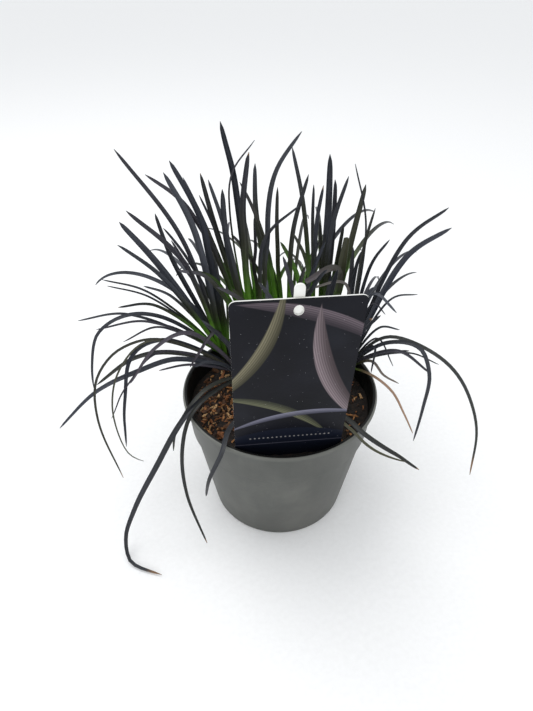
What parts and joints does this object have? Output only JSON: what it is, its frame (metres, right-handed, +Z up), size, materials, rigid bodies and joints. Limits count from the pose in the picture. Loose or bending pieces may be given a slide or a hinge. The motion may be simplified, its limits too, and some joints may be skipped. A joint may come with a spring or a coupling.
{
  "type": "potted black mondo grass",
  "caption": "Tufts of near-black strap-leaved grass in a round tapered nursery pot of compost, with a printed label card and a white stake.",
  "frame": {"origin": "centre of the pot's flat base, on the surface it stands on", "axes": "+Z up, -Y the front that the label card faces, +X to the right seen from the front"},
  "size_m": [0.2687, 0.2358, 0.2543],
  "materials": {
    "pot_plastic": "weathered grey-green injection-moulded plastic, scuffed",
    "compost": "dark moist compost with orange-brown bark chips",
    "card": "printed satin plastic card, charcoal with pale strap leaves",
    "stake": "plain white moulded plastic",
    "leaf": "satin near-black strap leaf, green at its base"
  },
  "bodies": {
    "root": {"pot": "pot_plastic", "soil": "compost", "label_card": "card", "label_stake": "stake", "tuft_left_back": "leaf", "tuft_back_left": "leaf", "tuft_back": "leaf", "tuft_back_right": "leaf", "tuft_right": "leaf", "tuft_left": "leaf", "tuft_middle": "leaf", "tuft_middle_right": "leaf", "tuft_front_left": "leaf", "tuft_front_right": "leaf"}
  },
  "joints": []
}
